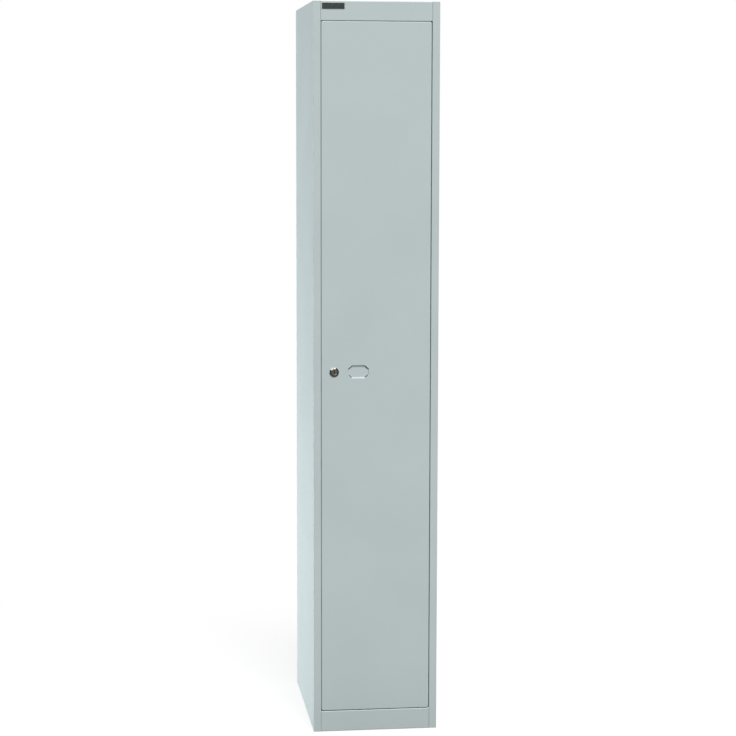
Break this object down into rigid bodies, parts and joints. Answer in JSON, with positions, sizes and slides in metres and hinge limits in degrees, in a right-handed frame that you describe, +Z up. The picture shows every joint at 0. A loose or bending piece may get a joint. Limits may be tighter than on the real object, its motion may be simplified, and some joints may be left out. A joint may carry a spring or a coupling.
{
  "type": "clothing locker",
  "caption": "Tall narrow sheet-steel clothing locker with a full-height inset door, cam lock, hat shelf and coat hooks.",
  "frame": {"origin": "on the floor, under the middle of the carcass", "axes": "+X to the right seen from the front, +Y from the door to the back, +Z up"},
  "size_m": [0.305, 0.4605, 1.778],
  "materials": {
    "grey_paint": "satin powder coat",
    "zinc_steel": "zinc plated",
    "chrome": "polished",
    "nylon": "matt",
    "rubber": "matt",
    "badge": "gloss"
  },
  "bodies": {
    "carcass": {"left_side_panel": "grey_paint", "right_side_panel": "grey_paint", "back_panel": "grey_paint", "top_panel": "grey_paint", "plinth": "grey_paint", "floor_panel": "grey_paint", "hat_shelf": "grey_paint", "left_coat_hook": "zinc_steel", "right_coat_hook": "zinc_steel", "double_coat_hook": "zinc_steel", "hook_rivets": "zinc_steel", "door_buffers": "rubber", "badge_plate": "badge", "upper_hinge_bush": "nylon", "lower_hinge_bush": "nylon", "lower_thrust_washer": "nylon"},
    "door": {"door_skin": "grey_paint", "door_stiffener": "grey_paint", "lock_reinforcing_plate": "grey_paint", "upper_hinge_bracket": "grey_paint", "lower_hinge_bracket": "grey_paint", "upper_hinge_pin": "zinc_steel", "lower_hinge_pin": "zinc_steel", "pin_clips": "zinc_steel", "lock_barrel": "chrome", "lock_washer": "zinc_steel", "lock_nut": "zinc_steel"},
    "lock_core": {"lock_plug": "chrome", "lock_cam": "zinc_steel", "cam_bolt": "zinc_steel"}
  },
  "joints": [
    {"name": "door_hinge", "type": "hinge", "parent": "carcass", "child": "door", "pos_m": [0.1205, -0.2219, 0.9], "axis": [0, 0, 1], "range_deg": [0, 110]},
    {"name": "lock_turn", "type": "hinge", "parent": "door", "child": "lock_core", "pos_m": [-0.102, -0.2285, 0.8925], "axis": [0, 1, 0], "range_deg": [0, 90]}
  ]
}
